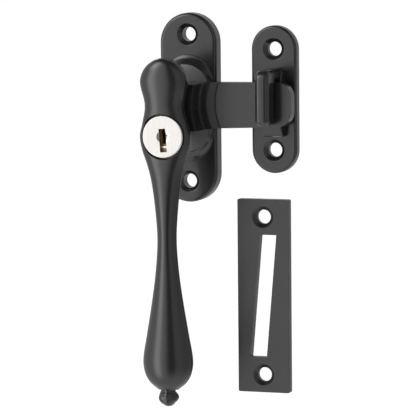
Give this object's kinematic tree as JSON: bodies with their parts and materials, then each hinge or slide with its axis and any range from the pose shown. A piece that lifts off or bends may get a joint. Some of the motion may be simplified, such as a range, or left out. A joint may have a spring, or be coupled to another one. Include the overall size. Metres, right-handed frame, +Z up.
{
  "type": "casement window fastener",
  "caption": "Locking casement window fastener: a hanging lever with a keyed lock turns a tongue into a cast hook, with a slotted mortice plate as the other keeper.",
  "frame": {"origin": "where the pivot axis meets the back face of the base plate", "axes": "+X from the pivot towards the hook plate, +Y into the window the plates are screwed to, +Z up along the hanging lever"},
  "size_m": [0.0462, 0.0312, 0.1227],
  "materials": {
    "black_casting": "satin black lacquer on a casting",
    "black_plate": "satin black lacquer on flat plate",
    "steel": "zinc plated steel",
    "spring_steel": "oiled spring steel",
    "lock_nickel": "satin nickel",
    "brass": "bare pressed brass"
  },
  "bodies": {
    "window": {"base_plate": "black_casting", "hook_plate": "black_casting", "mortice_plate": "black_plate"},
    "lever": {"lever_handle": "black_casting", "ball_finial": "black_casting", "tongue_arm": "black_casting", "pivot_spindle": "steel", "tongue_pin": "steel", "grub_screw": "steel", "disc_spring": "spring_steel", "stop_washer": "steel", "retaining_ring": "spring_steel", "lock_housing": "lock_nickel", "bolt_sleeve": "steel"},
    "plug": {"lock_plug": "lock_nickel", "wafer_1": "brass", "wafer_2": "brass", "wafer_3": "brass", "wafer_4": "brass", "wafer_5": "brass", "wafer_springs": "spring_steel", "plug_clip": "spring_steel"},
    "bolt": {"lock_bolt": "steel", "bolt_cross_pin": "steel"}
  },
  "joints": [
    {"name": "lever_turn", "type": "hinge", "parent": "window", "child": "lever", "pos_m": [0, 0, 0], "axis": [0, 1, 0], "range_deg": [0, 90]},
    {"name": "plug_turn", "type": "hinge", "parent": "lever", "child": "plug", "pos_m": [0, 0, -0.0073], "axis": [0, 1, 0], "range_deg": [0, 90]},
    {"name": "bolt_slide", "type": "slide", "parent": "plug", "child": "bolt", "axis": [0, 1, 0], "range_m": [0, 0.00235]}
  ],
  "couplings": [
    {"joint": "bolt_slide", "follows": "plug_turn", "m_per_rad": 0.001496}
  ]
}
